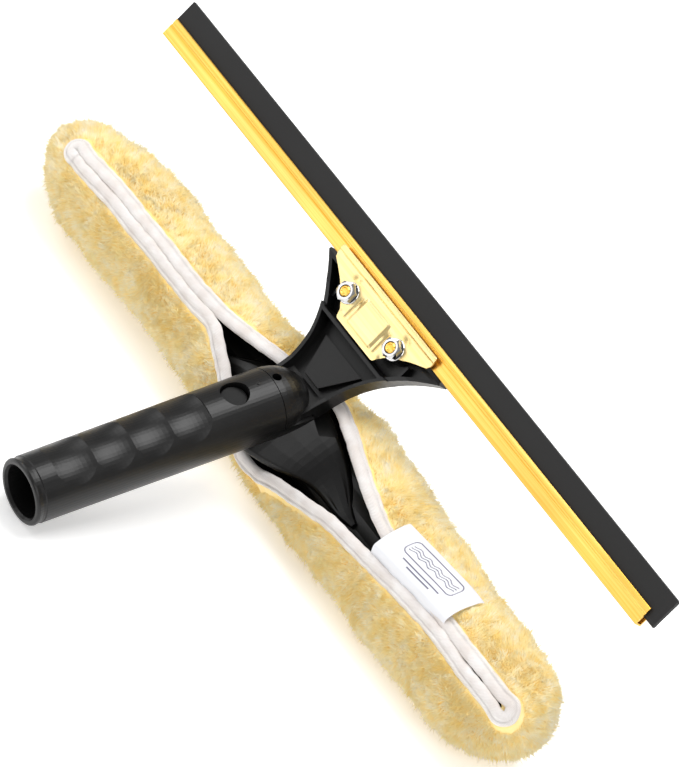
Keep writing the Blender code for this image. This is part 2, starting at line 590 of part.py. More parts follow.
def make_fastener(side_name, side):
    place = (side * STUD_X, STUD_W, 0)
    head_bottom = -10.2 * MM
    under_web = -8.3 * MM
    dimple = 0.3 * MM
    stud = [(0, STUD_TOP - dimple), (STUD_RADIUS * 0.5, STUD_TOP - dimple), (STUD_RADIUS * 0.6, STUD_TOP)]
    stud += [(STUD_RADIUS - 0.5 * MM, STUD_TOP), (STUD_RADIUS, STUD_TOP - 0.5 * MM)]
    stud += [(STUD_RADIUS, under_web), (STUD_HEAD_RADIUS, under_web)]
    stud += [(STUD_HEAD_RADIUS - 0.8 * MM, head_bottom + 0.4 * MM), (2.0 * MM, head_bottom), (0, head_bottom)]
    stud = finish(turned("clamp_stud_" + side_name, stud, HEAD, PARTS, place, steps=20), BRASS)

    washer_low = PLATE_TOP + GAP
    washer_high = washer_low + WASHER_THICK
    hole = STUD_RADIUS + GAP
    ring = [(hole, washer_high), (WASHER_RADIUS - 0.2 * MM, washer_high)]
    ring += [(WASHER_RADIUS, washer_high - 0.2 * MM), (WASHER_RADIUS, washer_low), (hole, washer_low)]
    ring = [(r, z - washer_low) for r, z in ring]
    place = (side * STUD_X, STUD_W, washer_low)
    washer = turned("clamp_washer_" + side_name, ring, HEAD, PARTS, place, steps=28, ring=True)
    finish(washer, STEEL)

    nut_low = washer_high + GAP
    bm = bmesh.new()
    across_corners = NUT_FLATS / math.cos(math.radians(30))
    bmesh.ops.create_cone(bm, cap_ends=True, segments=6, radius1=across_corners / 2,
                          radius2=across_corners / 2, depth=NUT_THICK,
                          matrix=Matrix.Translation((0, 0, NUT_THICK / 2)))
    place = (side * STUD_X, STUD_W, nut_low)
    nut = mesh_object("clamp_nut_" + side_name, bm, HEAD, PARTS, place)
    taper = [(0, NUT_THICK), (3.5 * MM, NUT_THICK), (4.8 * MM, NUT_THICK - 0.75 * MM), (4.8 * MM, 0), (0, 0)]
    taper = turned("nut_taper", taper, HEAD, CUTTERS, place, steps=24)
    bore = [(0, 5 * MM), (hole, 5 * MM), (hole, -MM), (0, -MM)]
    bore = turned("nut_bore", bore, HEAD, CUTTERS, place, steps=20)
    boolean(nut, "INTERSECT", taper)
    boolean(nut, "DIFFERENCE", bore)
    finish(nut, STEEL, 25.0)
    return stud, washer, nut


# ---- channel and rubber --------------------------------------------------------------------------
def section_bar(name, outline, start, end, mat):
    """A (w, n) section drawn out along X, with its origin at the head frame's centre."""
    half = (end - start) / 2
    bar = plate(name, outline, half, HEAD, PARTS, ((start + end) / 2, 0, 0), (math.pi / 2, 0, math.pi / 2))
    return finish(bar, mat)


def make_channel():
    slot = -CHANNEL_DEPTH / 2
    wall, wide, deep = CHANNEL_WALL, CHANNEL_WIDTH, CHANNEL_DEPTH
    outline = [(0.3 * MM, 0), (5.4 * MM, 0), (5.6 * MM, -0.25 * MM), (6.3 * MM, -0.25 * MM), (6.5 * MM, 0)]
    outline += [(wide - 0.3 * MM, 0), (wide, -0.3 * MM), (wide, slot + SLOT_HALF)]
    outline += [(wide - wall, slot + SLOT_HALF), (wide - wall, -wall), (wall, -wall)]
    outline += [(wall, wall - deep), (wide - wall, wall - deep), (wide - wall, slot - SLOT_HALF)]
    outline += [(wide, slot - SLOT_HALF), (wide, 0.3 * MM - deep), (wide - 0.3 * MM, -deep)]
    outline += [(0.3 * MM, -deep), (0, 0.3 * MM - deep), (0, -0.3 * MM)]
    left = CHANNEL_OFFSET - CHANNEL_LENGTH / 2
    return section_bar("brass_channel", outline, left, left + CHANNEL_LENGTH, BRASS)


def make_rubber():
    middle = -CHANNEL_DEPTH / 2
    neck = math.degrees(math.asin(RUBBER_HALF_THICK / BEAD_RADIUS))
    outline = arc((BEAD_W, middle), BEAD_RADIUS, neck, 360 - neck, 12)
    outline += [(RUBBER_TIP_W, middle - RUBBER_HALF_THICK), (RUBBER_TIP_W, middle + RUBBER_HALF_THICK)]
    left = CHANNEL_OFFSET - CHANNEL_LENGTH / 2 - RUBBER_LEFT_OVERHANG
    right = CHANNEL_OFFSET + CHANNEL_LENGTH / 2 + RUBBER_RIGHT_OVERHANG
    return section_bar("rubber_blade", outline, left, right, RUBBER)


def make_clip(side_name, side):
    """A bent brass strip behind the bead that holds the rubber's end in the channel."""
    middle = -CHANNEL_DEPTH / 2
    back = CHANNEL_WALL + GAP
    front = BEAD_W - BEAD_RADIUS - GAP
    outline = [(back, middle + 1.1 * MM), (front, middle + 1.1 * MM), (front, middle + 0.6 * MM)]
    outline += [(back + 0.5 * MM, middle + 0.6 * MM), (back + 0.5 * MM, middle - 0.6 * MM)]
    outline += [(front, middle - 0.6 * MM), (front, middle - 1.1 * MM), (back, middle - 1.1 * MM)]
    centre = CHANNEL_OFFSET + side * (CHANNEL_LENGTH / 2 - CLIP_LENGTH / 2 - 1.0 * MM)
    return section_bar("end_clip_" + side_name, outline, centre - CLIP_LENGTH / 2,
                       centre + CLIP_LENGTH / 2, BRASS)


# ---- washer sleeve ---------------------------------------------------------------------------------
def slit_centre(x):
    return BAR_T + 1.0 * MM - 0.014 * x


def mouth(x):
    """Share of the mouth's full opening at x."""
    reach = (MOUTH_RIGHT - MOUTH_WIDEST) if x > MOUTH_WIDEST else (MOUTH_WIDEST - MOUTH_LEFT)
    share = min(abs(x - MOUTH_WIDEST) / reach, 1.0)
    return math.cos(share * math.pi / 2) ** (2.0 if x > MOUTH_WIDEST else 0.9)


def slit_edges(extra, end):
    """Front and rear edges of the slit as (x, t), each widened by extra."""
    stations = np.concatenate([np.linspace(-end, MOUTH_LEFT - 10 * MM, 5),
                               np.linspace(MOUTH_LEFT, MOUTH_RIGHT, 23),
                               np.linspace(MOUTH_RIGHT + 10 * MM, end, 4)])
    margin = SLIT_HALF_WIDTH + extra
    front = [(x, slit_centre(x) + margin + MOUTH_FRONT * mouth(x)) for x in stations]
    rear = [(x, slit_centre(x) - margin - MOUTH_REAR * mouth(x)) for x in stations]
    return front, rear


def sleeve_edges(x):
    """Rear and front outline of the fleece at x, before its rounded ends."""
    rear = np.interp(x / MM, SLEEVE_STATIONS, SLEEVE_REAR) * MM
    front = np.interp(x / MM, SLEEVE_STATIONS, SLEEVE_FRONT) * MM
    return rear, front


def sleeve_surface(x, t):
    rear, front = sleeve_edges(x)
    share = min(abs(t - (rear + front) / 2) / ((front - rear) / 2), 0.97)
    return BAR_S + SLEEVE_HALF_HEIGHT * math.sqrt(1 - share * share)


def capsule_profile(radius, half_length, round_length, count):
    ends = np.radians(np.linspace(0, 90, count))
    top = [(radius * math.sin(a), half_length - round_length + round_length * math.cos(a)) for a in ends]
    top[0] = (0, half_length)
    return top + [(r, -z) for r, z in reversed(top)]


def sleeve_ring(x, shrink):
    """One oval section of the fleece. At the ends the sections shrink to a rounded tip."""
    rear, front = sleeve_edges(x)
    middle, half = (rear + front) / 2, (front - rear) / 2
    return [(x, middle + shrink * half * c, BAR_S + shrink * SLEEVE_HALF_HEIGHT * s)
            for c, s in arc((0, 0), 1.0, 0, 360, 33)[:-1]]


def make_sleeve():
    end_round = 22.0 * MM
    straight = SLEEVE_HALF_LENGTH - end_round
    ends = [(end_round * math.sin(a), math.cos(a)) for a in np.radians([84, 66, 48, 30, 14])]
    rings = [sleeve_ring(-straight - out, shrink) for out, shrink in ends]
    rings += [sleeve_ring(x, 1.0) for x in np.linspace(-straight, straight, 15)]
    rings += [sleeve_ring(straight + out, shrink) for out, shrink in reversed(ends)]
    sleeve = loft("fleece_sleeve", rings, BAR, PARTS)
    inside_width = BAR_HALF_WIDTH + 1.6 * MM
    inside_height = BAR_HALF_THICK + 3.4 * MM
    inside = capsule_profile(inside_width, BAR_HALF_LENGTH + 6 * MM, 7 * MM, 4)
    hollow = turned("bar_pocket", inside, BAR, CUTTERS, (0, BAR_T, BAR_S), ALONG_X, steps=28)
    hollow.scale = (inside_height / inside_width, 1, 1)
    front, rear = slit_edges(TAPE_WIDTH + TAPE_ROOM, SLIT_HALF_LENGTH + TAPE_WIDTH + TAPE_ROOM)
    slit_depth = 32 * MM
    slit = plate("slit", rear + list(reversed(front)), slit_depth / 2, BAR, CUTTERS,
                 (0, 0, BAR_S - 3 * MM + slit_depth / 2))
    boolean(sleeve, "DIFFERENCE", hollow, slit)
    return finish(sleeve, FLEECE, 60.0)


def make_tape():
    """One loop of binding tape round the slit, lying in the fleece's cut edge."""
    front, rear = slit_edges(TAPE_WIDTH / 2, SLIT_HALF_LENGTH)
    turn = 0.7 * (TAPE_WIDTH / 2 + SLIT_HALF_WIDTH)
    right_end = [(SLIT_HALF_LENGTH + turn, slit_centre(SLIT_HALF_LENGTH))]
    left_end = [(-SLIT_HALF_LENGTH - turn, slit_centre(-SLIT_HALF_LENGTH))]
    path = rear + right_end + list(reversed(front)) + left_end
    count = len(path)
    section = [(-0.5, 0), (-0.36, 0.42), (0, 0.5), (0.36, 0.42), (0.5, 0), (0.36, -0.42), (0, -0.5),
               (-0.36, -0.42)]
    bm = bmesh.new()
    rows = []
    for i, (x, t) in enumerate(path):
        along = (Vector(path[(i + 1) % count]) - Vector(path[i - 1])).normalized()
        out = Vector((along.y, -along.x))
        s = sleeve_surface(x, t) - TAPE_SINK
        slope = (sleeve_surface(x, t + out.y * MM) - sleeve_surface(x, t - out.y * MM)) / (2 * MM)
        slope = max(min(slope, 0.5), -0.9)
        rows.append([bm.verts.new((x + out.x * across * TAPE_WIDTH, t + out.y * across * TAPE_WIDTH,
                                   s + across * TAPE_WIDTH * slope + rise * TAPE_THICK))
                     for across, rise in section])
    for row, following in zip(rows, rows[1:] + rows[:1]):
        for j in range(len(section)):
            k = (j + 1) % len(section)
            bm.faces.new((row[j], row[k], following[k], following[j]))
    bmesh.ops.recalc_face_normals(bm, faces=bm.faces)
    return finish(mesh_object("binding_tape", bm, BAR, PARTS), TAPE, 60.0)


def make_label():
    """A cloth label over the slit's front edge, bent to the sleeve's outside."""
    rings = []
    for x in np.linspace(LABEL_START, LABEL_END, 6):
        top, bottom = [], []
        for across in np.linspace(LABEL_REAR, LABEL_FRONT, 8):
            t = slit_centre(x) + across
            s = sleeve_surface(x, t) + LABEL_LIFT
            top.append((x, t, s + LABEL_THICK))
            bottom.append((x, t, s))
        rings.append(top + list(reversed(bottom)))
    return finish(loft("cloth_label", rings, BAR, PARTS), LABEL, 60.0)


# ---- stand the tool on the floor --------------------------------------------------------------------
def resting_tilt():
    """The turn about X that brings the washer's underside and the butt's edge level."""
    fleece = [BAR.matrix_local @ vertex.co for vertex in bpy.data.objects["fleece_sleeve"].data.vertices]
    low, high = 0.0, math.radians(40)
    for _ in range(40):
        tilt = (low + high) / 2
        down = Vector((0, -math.sin(tilt), -math.cos(tilt)))
        washer = max(point.dot(down) for point in fleece)
        butt = down.dot(Vector((0, -GRIP_LENGTH + RIM_ROUND, -(BUTT_RADIUS - RIM_ROUND)))) + RIM_ROUND
        if butt > washer:
            high = tilt
        else:
            low = tilt
    return tilt


def stand_on_floor():
    ROOT.rotation_euler = (resting_tilt(), 0, 0)
    bpy.context.view_layer.update()
    corners = []
    for obj in PARTS.objects:
        if obj.type == "MESH":
            corners += [obj.matrix_world @ vertex.co for vertex in obj.data.vertices]
    points = np.array([tuple(corner) for corner in corners])
    low, high = points.min(axis=0), points.max(axis=0)
    ROOT.location = (-(low[0] + high[0]) / 2, -(low[1] + high[1]) / 2, -low[2])
    bpy.context.view_layer.update()


make_handle()
make_head()
make_button()
make_spring()
make_clamp_plate()
for name, sign in (("left", -1), ("right", 1)):
    make_fastener(name, sign)
    make_clip(name, sign)
make_channel()
make_rubber()
make_sleeve()
make_tape()
make_label()
stand_on_floor()
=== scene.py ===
"""Looks for the window cleaning tool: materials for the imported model, and its soft goods made in full.

The fleece sleeve, the binding tape, the label and the pressed clamp plate replace their plain CAD nodes.
Lengths in the soft goods are in millimetres in the bar frame: X along the blade, T across, S towards the
slit.
"""
import json
import math

import bmesh
import bpy
import numpy as np
from mathutils import Matrix, Vector, kdtree, noise


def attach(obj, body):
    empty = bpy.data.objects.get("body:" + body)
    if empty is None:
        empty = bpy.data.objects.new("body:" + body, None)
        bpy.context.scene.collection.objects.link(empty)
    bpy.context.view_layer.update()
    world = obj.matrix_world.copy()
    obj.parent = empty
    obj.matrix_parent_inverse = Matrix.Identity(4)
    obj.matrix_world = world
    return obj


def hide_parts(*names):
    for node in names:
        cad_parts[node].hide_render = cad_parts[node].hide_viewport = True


MM = 0.001
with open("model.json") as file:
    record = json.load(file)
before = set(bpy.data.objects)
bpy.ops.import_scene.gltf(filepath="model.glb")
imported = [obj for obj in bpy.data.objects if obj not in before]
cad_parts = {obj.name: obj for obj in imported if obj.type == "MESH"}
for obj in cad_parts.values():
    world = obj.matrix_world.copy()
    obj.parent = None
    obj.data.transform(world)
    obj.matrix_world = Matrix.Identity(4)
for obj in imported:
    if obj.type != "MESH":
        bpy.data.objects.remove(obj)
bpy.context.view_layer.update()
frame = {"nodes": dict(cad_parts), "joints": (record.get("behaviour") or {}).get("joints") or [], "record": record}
NODES = frame["nodes"]
scene = bpy.context.scene
SEED = 14
random = np.random.default_rng(SEED)
noise.seed_set(SEED)                # noise_vector is seeded from the clock otherwise

# ---- the tool's own frames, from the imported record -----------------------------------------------
BUTT_RING = 12.3 * MM               # the mount's point lies this far from the handle's axis
GRIP_LENGTH = 114.8 * MM
BAR_SLANT = math.radians(30.0)
HEAD_TILT = math.radians(45.8)
HEAD_Y, HEAD_Z = 50.94, 31.54

butt = frame["record"]["mounts"][0]
press = next(j for j in frame["joints"] if j["name"] == "lock_button_press")
TOOL_X = np.array([1.0, 0.0, 0.0])
TOOL_Y = -np.array(butt["axis"])
TOOL_Z = -np.array(press["axis"])
ORIGIN = np.array(butt["pos_m"]) - BUTT_RING * TOOL_Z + GRIP_LENGTH * TOOL_Y
BAR_T_AXIS = math.cos(BAR_SLANT) * TOOL_Y + math.sin(BAR_SLANT) * TOOL_Z
BAR_S_AXIS = -math.sin(BAR_SLANT) * TOOL_Y + math.cos(BAR_SLANT) * TOOL_Z
HEAD_W_AXIS = math.cos(HEAD_TILT) * TOOL_Y + math.sin(HEAD_TILT) * TOOL_Z
HEAD_N_AXIS = -math.sin(HEAD_TILT) * TOOL_Y + math.cos(HEAD_TILT) * TOOL_Z
HEAD_ORIGIN = ORIGIN + (HEAD_Y * TOOL_Y + HEAD_Z * TOOL_Z) * MM


def from_bar(points):
    """Millimetres in the bar frame to metres in the row frame."""
    p = np.asarray(points, float) * MM
    return ORIGIN + p[..., 0:1] * TOOL_X + p[..., 1:2] * BAR_T_AXIS + p[..., 2:3] * BAR_S_AXIS


def from_head(points):
    """Millimetres in the head's frame to metres in the row frame."""
    p = np.asarray(points, float) * MM
    return HEAD_ORIGIN + p[..., 0:1] * TOOL_X + p[..., 1:2] * HEAD_W_AXIS + p[..., 2:3] * HEAD_N_AXIS


# ---- materials -------------------------------------------------------------------------------------
class Paint:
    """One Principled material and short ways to add nodes to it."""

    def __init__(self, name, **values):
        self.material = bpy.data.materials.new(name)
        self.material.use_nodes = True
        self.tree = self.material.node_tree
        self.shader = self.tree.nodes["Principled BSDF"]
        for socket, value in values.items():
            self.put(self.shader, socket.replace("_", " "), value)

    def put(self, node, socket, value):
        target = node.inputs[socket]
        if isinstance(value, bpy.types.NodeSocket):
            self.tree.links.new(value, target)
        elif isinstance(value, tuple) and len(value) == 3 and target.type == "RGBA":
            target.default_value = (*value, 1.0)
        else:
            target.default_value = value

    def add(self, kind, inputs=None, **settings):
        node = self.tree.nodes.new("ShaderNode" + kind)
        for key, value in settings.items():
            setattr(node, key, value)
        for socket, value in (inputs or {}).items():
            self.put(node, socket, value)
        return node

    def place(self, scale=(1, 1, 1)):
        coordinates = self.add("TexCoord")
        mapping = self.add("Mapping", {"Vector": coordinates.outputs["Object"], "Scale": scale})
        return mapping.outputs["Vector"]

    def noise(self, scale, detail=3.0, stretch=(1, 1, 1), rough=0.5):
        made = self.add("TexNoise", {"Vector": self.place(stretch), "Scale": scale, "Detail": detail,
                                     "Roughness": rough})
        return made.outputs["Fac"]

    def span(self, value, low, high, to_low, to_high):
        made = self.add("MapRange", {"Value": value, "From Min": low, "From Max": high,
                                     "To Min": to_low, "To Max": to_high})
        return made.outputs["Result"]

    def blend(self, share, first, second):
        mix = self.add("Mix", data_type="RGBA")
        self.put(mix, 0, share)
        self.put(mix, 6, first)
        self.put(mix, 7, second)
        return mix.outputs[2]

    def bump(self, height, depth, strength):
        made = self.add("Bump", {"Height": height, "Distance": depth, "Strength": strength})
        self.put(self.shader, "Normal", made.outputs["Normal"])


def nylon():
    paint = Paint("satin_black_nylon", Specular_IOR_Level=0.36)
    fine = paint.noise(2600.0, 2.0)
    cloudy = paint.noise(55.0, 4.0)
    paint.put(paint.shader, "Base Color",
              paint.blend(cloudy, (0.0040, 0.0040, 0.0042), (0.0070, 0.0068, 0.0066)))
    paint.put(paint.shader, "Roughness", paint.span(cloudy, 0.3, 0.7, 0.30, 0.38))
    paint.bump(fine, 0.00003, 0.5)
    return paint.material


def brass(name, deep, light, streak_scale, rough):
    """Brass brushed along X: streaks in its colour and its height, and cloudy patches in its roughness."""
    paint = Paint(name, Metallic=1.0)
    streaks = paint.noise(streak_scale, 4.0, (0.006, 1, 1), 0.65)
    cloudy = paint.noise(40.0, 3.0, (0.5, 1, 1))
    share = paint.span(streaks, 0.34, 0.66, 0.0, 1.0)
    paint.put(paint.shader, "Base Color", paint.blend(share, deep, light))
    paint.put(paint.shader, "Roughness", paint.span(cloudy, 0.3, 0.7, rough - 0.06, rough + 0.08))
    paint.bump(streaks, 0.00005, 0.5)
    return paint.material


def steel():
    paint = Paint("plated_steel", Metallic=1.0)
    cloudy = paint.noise(300.0, 3.0)
    paint.put(paint.shader, "Base Color", paint.blend(cloudy, (0.46, 0.45, 0.43), (0.74, 0.74, 0.76)))
    paint.put(paint.shader, "Roughness", paint.span(cloudy, 0.3, 0.7, 0.08, 0.18))
    return paint.material


def rubber():
    paint = Paint("black_rubber", Specular_IOR_Level=0.3)
    fine = paint.noise(1400.0, 3.0)
    smears = paint.noise(38.0, 5.0, (0.35, 1, 1))
    paint.put(paint.shader, "Base Color", paint.blend(smears, (0.011, 0.011, 0.011), (0.020, 0.019, 0.019)))
    paint.put(paint.shader, "Roughness", paint.span(smears, 0.3, 0.7, 0.50, 0.66))
    paint.bump(fine, 0.00002, 0.4)
    return paint.material


def fleece():
    """Pile: deep yellow at the roots, cream at the tips, in soft patches, glowing faintly in the same colour as
    painted fill light in its shade. The mesh holds both shares.
    """
    # Emission in the pile's own colour is painted light: the pile glows faintly, lifting its shaded parts as a
    # fill lamp would.
    paint = Paint("fleece_pile", Roughness=0.85, Specular_IOR_Level=0.1, Sheen_Weight=0.3,
                  Sheen_Roughness=0.5, Emission_Strength=0.15)
    shares = paint.add("Attribute", attribute_name="pile")
    parts = paint.add("SeparateColor", {"Color": shares.outputs["Color"]})
    patches = paint.span(paint.noise(170.0, 3.0), 0.38, 0.62, 0.0, 1.0)
    yellow = paint.blend(patches, (0.99, 0.73, 0.25), (0.99, 0.83, 0.44))
    pale = paint.blend(patches, (0.99, 0.86, 0.46), (0.99, 0.94, 0.74))
    strand = paint.blend(parts.outputs["Green"], yellow, pale)
    root = paint.blend(parts.outputs["Red"], (0.99, 0.73, 0.26), strand)
    paint.put(paint.shader, "Base Color", root)
    # painted fill light: the pile glows in its own colour
    paint.put(paint.shader, "Emission Color", root)
    return paint.material


def painted_shade_lining():
    """The sleeve's inner face, painted near-black: painted shade for the dark inside of the slit's mouth."""
    paint = Paint("painted_shade_backing", Roughness=0.9, Specular_IOR_Level=0.1)
    knit = paint.noise(900.0, 2.0)
    paint.put(paint.shader, "Base Color", paint.blend(knit, (0.006, 0.006, 0.006), (0.014, 0.013, 0.012)))
    return paint.material


def tape_cloth():
    paint = Paint("white_cotton_twill", Roughness=0.85, Specular_IOR_Level=0.2, Sheen_Weight=0.2)
    shares = paint.add("UVMap", uv_map="along")
    turned = paint.add("Mapping", {"Vector": shares.outputs["UV"], "Rotation": (0, 0, math.radians(38))})
    weave = paint.add("TexWave", {"Vector": turned.outputs["Vector"], "Scale": 0.55, "Distortion": 0.6,
                                  "Detail": 2.0, "Detail Scale": 2.0})
    ribs = weave.outputs["Fac"]
    soil = paint.noise(140.0, 4.0)
    plain = paint.blend(paint.span(soil, 0.35, 0.65, 0.0, 1.0), (0.80, 0.74, 0.70), (0.91, 0.88, 0.86))
    # The weave's low lines are painted darker, following the same wave as the bump: painted shade in the grooves
    # between the ribs.
    paint.put(paint.shader, "Base Color", paint.blend(paint.span(ribs, 0.0, 0.5, 0.55, 1.0),
                                                      (0.66, 0.60, 0.57), plain))
    paint.bump(ribs, 0.00018, 0.6)
    return paint.material


def satin():
    paint = Paint("white_satin", Roughness=0.42, Specular_IOR_Level=0.45, Sheen_Weight=0.1)
    ink = paint.add("Attribute", attribute_name="print")
    threads = paint.noise(3000.0, 1.0, (1, 0.2, 0.2))
    paint.put(paint.shader, "Base Color",
              paint.blend(ink.outputs["Fac"], (0.85, 0.86, 0.90), (0.06, 0.05, 0.13)))
    paint.bump(threads, 0.00003, 0.3)
    return paint.material


NYLON, STEEL, RUBBER = nylon(), steel(), rubber()
BRASS = brass("brushed_brass", (0.70, 0.38, 0.05), (0.93, 0.62, 0.17), 900.0, 0.32)
PALE_BRASS = brass("pale_pressed_brass", (0.90, 0.68, 0.28), (0.95, 0.77, 0.40), 500.0, 0.36)
FLEECE, PAINTED_SHADE_LINING, TWILL, SATIN = fleece(), painted_shade_lining(), tape_cloth(), satin()


def dress(names, material):
    for name in names.split():
        mesh = NODES[name].data
        mesh.materials.clear()
        mesh.materials.append(material)


dress("handle_body squeegee_head lock_button", NYLON)
dress("button_spring clamp_washer_left clamp_washer_right clamp_nut_left clamp_nut_right", STEEL)
dress("clamp_stud_left clamp_stud_right brass_channel end_clip_left end_clip_right", BRASS)
dress("rubber_blade", RUBBER)


def new_piece(name, points, faces, material, replaces=None):
    mesh = bpy.data.meshes.new(name)
    mesh.from_pydata(np.asarray(points).reshape(-1, 3).tolist(), [], faces)
    mesh.shade_smooth()
    mesh.materials.append(material)
    piece = bpy.data.objects.new(name, mesh)
    scene.collection.objects.link(piece)
    if replaces:
        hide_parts(replaces)
    return piece


def grid_faces(rows, columns, closed_rows=False):
    """Quads of a grid stored row by row. With closed_rows the last row joins the first."""
    down = np.arange(rows if closed_rows else rows - 1)[:, None]
    across = np.arange(columns - 1)[None, :]
    below = (down + 1) % rows
    quads = np.stack([down * columns + across, below * columns + across,
                      below * columns + across + 1, down * columns + across + 1], axis=-1)
    return quads.reshape(-1, 4).tolist()


def smooth(values, times):
    """A running average that keeps both ends where they are."""
    out = np.array(values, float)
    for _ in range(times):
        out[1:-1] = 0.25 * out[:-2] + 0.5 * out[1:-1] + 0.25 * out[2:]
    return out


def step(value):
    """0 below 0, 1 above 1, with soft shoulders."""
    share = np.clip(value, 0, 1)
    return share * share * (3 - 2 * share)


def curve_through(points, spacing):
    """A Catmull-Rom curve through the points, resampled about spacing apart."""
    p = np.array([2 * np.array(points[0], float) - points[1], *points,
                  2 * np.array(points[-1], float) - points[-2]], float)
    u = np.linspace(0, 1, 24, endpoint=False)[:, None]
    parts = []
    for a, b, c, d in zip(p, p[1:], p[2:], p[3:]):
        parts.append(0.5 * (2 * b + (c - a) * u + (2 * a - 5 * b + 4 * c - d) * u ** 2
                            + (3 * b - a - 3 * c + d) * u ** 3))
    line = np.concatenate(parts + [p[-2:-1]])
    along = np.concatenate([[0], np.cumsum(np.linalg.norm(np.diff(line, axis=0), axis=1))])
    at = np.linspace(0, along[-1], int(along[-1] / spacing) + 1)
    return np.stack([np.interp(at, along, line[:, k]) for k in range(line.shape[1])], axis=1)


# ---- fleece sleeve -----------------------------------------------------------------------------------
BAR_S = -28.0                       # the sleeve's mid height
HALF_LENGTH = 179.5
HALF_HEIGHT = 21.0
END_ROUND = 24.0
END_ROWS = 26
END_POWER = 2.9                     # higher is blunter
# the fleece's rear and front edge (T) at stations along the blade (X)
STATIONS = [-180, -160, -145, -130, -100, -57, -30, 0, 28, 55, 80, 95, 120, 135, 148, 161, 180]
REAR = [-12, -17.5, -20.5, -20.6, -20.4, -19.5, -21, -24.5, -25.5, -24.6, -25.6, -26.5, -26, -25.5, -24.8,
        -22, -14]
FRONT = [20, 23.5, 27, 28.3, 28.6, 28.7, 29.5, 33, 34, 31, 29.3, 29.2, 28, 27.6, 26.6, 26, 20]
PILE = 3.0                          # how far the skin lies inside the pile's outline
SLIT_END_LEFT, SLIT_END_RIGHT = -157.0, 166.0
EDGE_SHARE = 0.97                   # heights are taken at most this far out from the sleeve's middle
LEAST_SHRINK = 0.03                 # keeps the closed ends from folding to a point


def outline(x):
    """Rear and front edge of the fleece at x, and how far its section has shrunk at the ends."""
    fine = np.linspace(-182, 182, 365)
    rear = smooth(np.interp(fine, STATIONS, REAR), 60)
    front = smooth(np.interp(fine, STATIONS, FRONT), 60)
    left = np.array([tuple(noise.noise_vector(Vector((v * 0.035, 3.1, 0)))) for v in fine])
    rear = np.interp(x, fine, rear + 1.3 * left[:, 0])
    front = np.interp(x, fine, front + 1.3 * left[:, 1])
    past = np.clip((np.abs(x) - (HALF_LENGTH - END_ROUND)) / END_ROUND, 0, 1)
    return rear, front, np.sqrt(np.maximum(1 - past ** END_POWER, 0))


# the slit's two edges, where the tape's middle lines run, as (X, T)
FRONT_EDGE = [(-166, 5.8), (-150, 5.7), (-128, 7.1), (-99, 7.6), (-71, 7.8), (-52, 9.2), (-40, 11.5),
              (-16, 17.5), (-4, 21.6), (12, 23.4), (26, 20.6), (45, 14.5), (62, 9.6), (79, 6.2), (100, 4.6),
              (119, 3.9), (148, 3.9), (172, 3.6)]
REAR_EDGE = [(-166, -0.6), (-150, -0.5), (-128, 0.9), (-99, 1.4), (-71, 1.6), (-52, 2.4), (-40, -1.2),
             (-24, -8.4), (-12, -16.6), (0, -20.2), (12, -20.2), (24, -16.6), (35, -13.8), (57, -8.4),
             (80, -6.0), (100, -3.9), (119, -2.3), (148, -2.7), (172, -3.0)]
FRONT_LINE = curve_through([np.array(p, float) for p in FRONT_EDGE], 1.0)
REAR_LINE = curve_through([np.array(p, float) for p in REAR_EDGE], 1.0)


def edges_at(x):
    """The tape's two middle lines across the slit at x."""
    return np.interp(x, REAR_LINE[:, 0], REAR_LINE[:, 1]), np.interp(x, FRONT_LINE[:, 0], FRONT_LINE[:, 1])


def surface(x, t):
    """Height of the fleece's outline over the bar frame's plane at (x, t)."""
    rear, front, shrink = outline(x)
    half = (front - rear) / 2 * shrink
    share = np.clip(np.abs(t - (rear + front) / 2) / np.maximum(half, 1.0), 0, EDGE_SHARE)
    return BAR_S + HALF_HEIGHT * shrink * np.sqrt(1 - share ** 2)


def skin_points(u_count, v_count, inset):
    """The sleeve's cloth: from the slit's front edge round the underside to its rear edge."""
    length = HALF_LENGTH - inset
    tip = length - END_ROUND + END_ROUND * np.sin(np.linspace(0, math.pi / 2, END_ROWS))[1:]
    x = np.concatenate([-tip[::-1], np.linspace(END_ROUND - length, length - END_ROUND, u_count), tip])
    rear, front, _ = outline(x)
    past = np.clip((np.abs(x) - (length - END_ROUND)) / END_ROUND, 0, 1)
    shrink = np.sqrt(1 - past ** END_POWER)
    middle = (rear + front) / 2
    half = np.maximum((front - rear) / 2 - inset, 1.0) * np.maximum(shrink, LEAST_SHRINK)
    height = (HALF_HEIGHT - inset) * np.maximum(shrink, LEAST_SHRINK)
    rear_t, front_t = edges_at(x)
    open_share = np.clip(np.minimum(x - SLIT_END_LEFT, SLIT_END_RIGHT - x) / 6.0, 0, 1)
    centre_t = (rear_t + front_t) / 2
    front_t = centre_t + (front_t - centre_t) * open_share
    rear_t = centre_t + (rear_t - centre_t) * open_share
    start = np.arccos(np.clip((front_t - middle) / half, -0.98, 0.98))
    end = np.arccos(np.clip((rear_t - middle) / half, -0.98, 0.98)) - 2 * math.pi
    v = np.linspace(0, 1, v_count)
    angle = start[:, None] + (end - start)[:, None] * v[None, :]
    return np.stack([np.broadcast_to(x[:, None], angle.shape),
                     middle[:, None] + half[:, None] * np.cos(angle),
                     BAR_S + height[:, None] * np.sin(angle)], axis=-1)


def grid_normals(points):
    """A unit normal at each grid point, facing out of the sleeve."""
    along = np.gradient(points, axis=0)
    across = np.gradient(points, axis=1)
    normal = np.cross(across, along)
    normal /= np.maximum(np.linalg.norm(normal, axis=-1, keepdims=True), 1e-9)
    out = points - np.array([0, 3.5, BAR_S])
    out[..., 0] *= 0.12
    flip = np.sign((normal * out).sum(-1, keepdims=True))
    return normal * np.where(flip == 0, 1, flip)


def lumps(points, scale, seed):
    """Smooth noise in three directions at each point."""
    flat = points.reshape(-1, 3)
    made = np.array([tuple(noise.noise_vector(Vector((p[0] * scale, p[1] * scale, p[2] * scale + seed))))
                     for p in flat])
    return made.reshape(points.shape)


